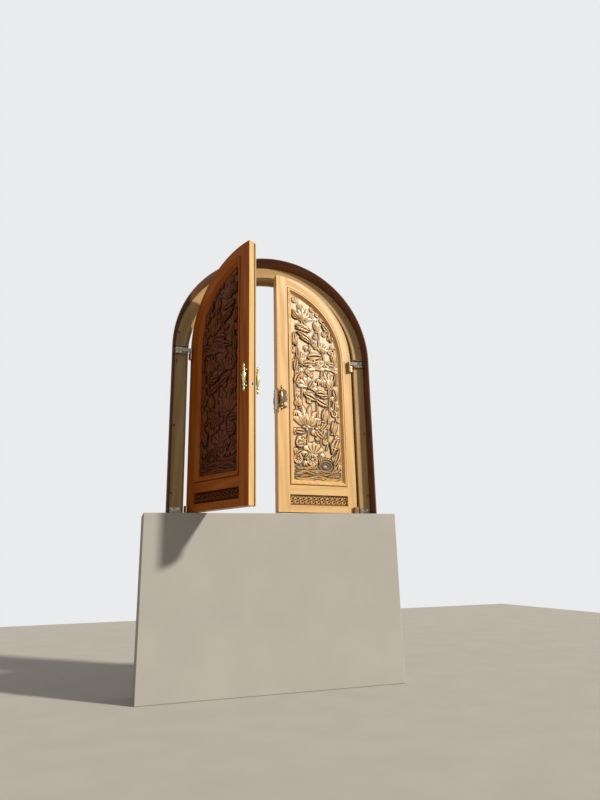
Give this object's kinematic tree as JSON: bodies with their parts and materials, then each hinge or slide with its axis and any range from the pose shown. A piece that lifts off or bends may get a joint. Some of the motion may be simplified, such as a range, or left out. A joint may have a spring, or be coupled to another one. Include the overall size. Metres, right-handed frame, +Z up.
{
  "type": "carved double door",
  "caption": "Round-arched pair of carved wooden door leaves hung on pivots in their own flat-faced frame, with pulls, a mortise lock and surface bolts.",
  "frame": {"origin": "on the sill, on the centre line, level with the closed leaves' outer faces", "axes": "+X to the right seen from outside, +Y in through the doorway, +Z up"},
  "size_m": [1.7714, 0.7505, 2.298],
  "materials": {
    "leaf_wood": "varnished",
    "carved_wood": "varnished",
    "frame_wood": "satin varnish",
    "lining_wood": "dark stain",
    "pull_brass": "polished",
    "plate_metal": "satin",
    "hinge_metal": "aged",
    "steel": "brushed",
    "screw_metal": "satin",
    "seal": "matte"
  },
  "bodies": {
    "frame": {"frame_jamb_left": "frame_wood", "frame_jamb_right": "frame_wood", "frame_arch_left": "frame_wood", "frame_arch_right": "frame_wood", "lining_jamb_left": "lining_wood", "lining_jamb_right": "lining_wood", "lining_arch_left": "lining_wood", "lining_arch_right": "lining_wood", "upper_bracket_left": "hinge_metal", "upper_bracket_right": "hinge_metal", "upper_pin_left": "steel", "upper_pin_right": "steel", "lower_pivot_left": "hinge_metal", "lower_pivot_right": "hinge_metal", "bracket_screws": "screw_metal"},
    "leaf_left": {"left_arch_rail": "leaf_wood", "left_bottom_rail": "leaf_wood", "left_carved_panel": "carved_wood", "left_fret_panel": "carved_wood", "left_hinge_screws": "screw_metal", "left_hinge_stile": "leaf_wood", "left_inner_plate": "plate_metal", "left_inner_pull": "pull_brass", "left_lower_knuckle": "hinge_metal", "left_meeting_stile": "leaf_wood", "left_mid_rail": "leaf_wood", "left_outer_plate": "plate_metal", "left_outer_pull": "pull_brass", "left_panel_moulding": "leaf_wood", "left_plate_screws": "screw_metal", "left_upper_knuckle": "hinge_metal", "left_edge_seal": "seal", "lock_strike": "steel", "top_bolt_guide": "pull_brass", "bottom_bolt_guide": "pull_brass"},
    "leaf_right": {"right_arch_rail": "leaf_wood", "right_bottom_rail": "leaf_wood", "right_carved_panel": "carved_wood", "right_fret_panel": "carved_wood", "right_hinge_screws": "screw_metal", "right_hinge_stile": "leaf_wood", "right_inner_plate": "plate_metal", "right_inner_pull": "pull_brass", "right_lower_knuckle": "hinge_metal", "right_meeting_stile": "leaf_wood", "right_mid_rail": "leaf_wood", "right_outer_plate": "plate_metal", "right_outer_pull": "pull_brass", "right_panel_moulding": "leaf_wood", "right_plate_screws": "screw_metal", "right_upper_knuckle": "hinge_metal", "lock_case": "steel", "lock_cylinder": "steel"},
    "top_bolt": {"top_bolt": "pull_brass"},
    "bottom_bolt": {"bottom_bolt": "pull_brass"},
    "lock_bolt": {"lock_bolt": "steel"},
    "lock_plug": {"lock_plug": "steel", "lock_thumb_turn": "steel"}
  },
  "joints": [
    {"name": "right_leaf_hinge", "type": "hinge", "parent": "frame", "child": "leaf_right", "pos_m": [0.72, -0.018, 0], "axis": [0, 0, 1], "range_deg": [-9.3, 85.7]},
    {"name": "left_leaf_hinge", "type": "hinge", "parent": "frame", "child": "leaf_left", "pos_m": [-0.72, -0.018, 0], "axis": [0, 0, -1], "range_deg": [-60.6, 34.4]},
    {"name": "top_bolt_slide", "type": "slide", "parent": "leaf_left", "child": "top_bolt", "axis": [0, 0, 1], "range_m": [0, 0.02]},
    {"name": "bottom_bolt_slide", "type": "slide", "parent": "leaf_left", "child": "bottom_bolt", "axis": [0, 0, -1], "range_m": [0, 0.02]},
    {"name": "lock_bolt_slide", "type": "slide", "parent": "leaf_right", "child": "lock_bolt", "axis": [-0.9869, -0.1616, 0], "range_m": [0, 0.02]},
    {"name": "lock_plug_turn", "type": "hinge", "parent": "leaf_right", "child": "lock_plug", "pos_m": [0.08254, -0.10415, 0.921], "axis": [-0.1616, 0.9869, 0], "range_deg": [0, 90]}
  ],
  "couplings": [
    {"joint": "lock_bolt_slide", "follows": "lock_plug_turn", "m_per_rad": 0.01273}
  ]
}
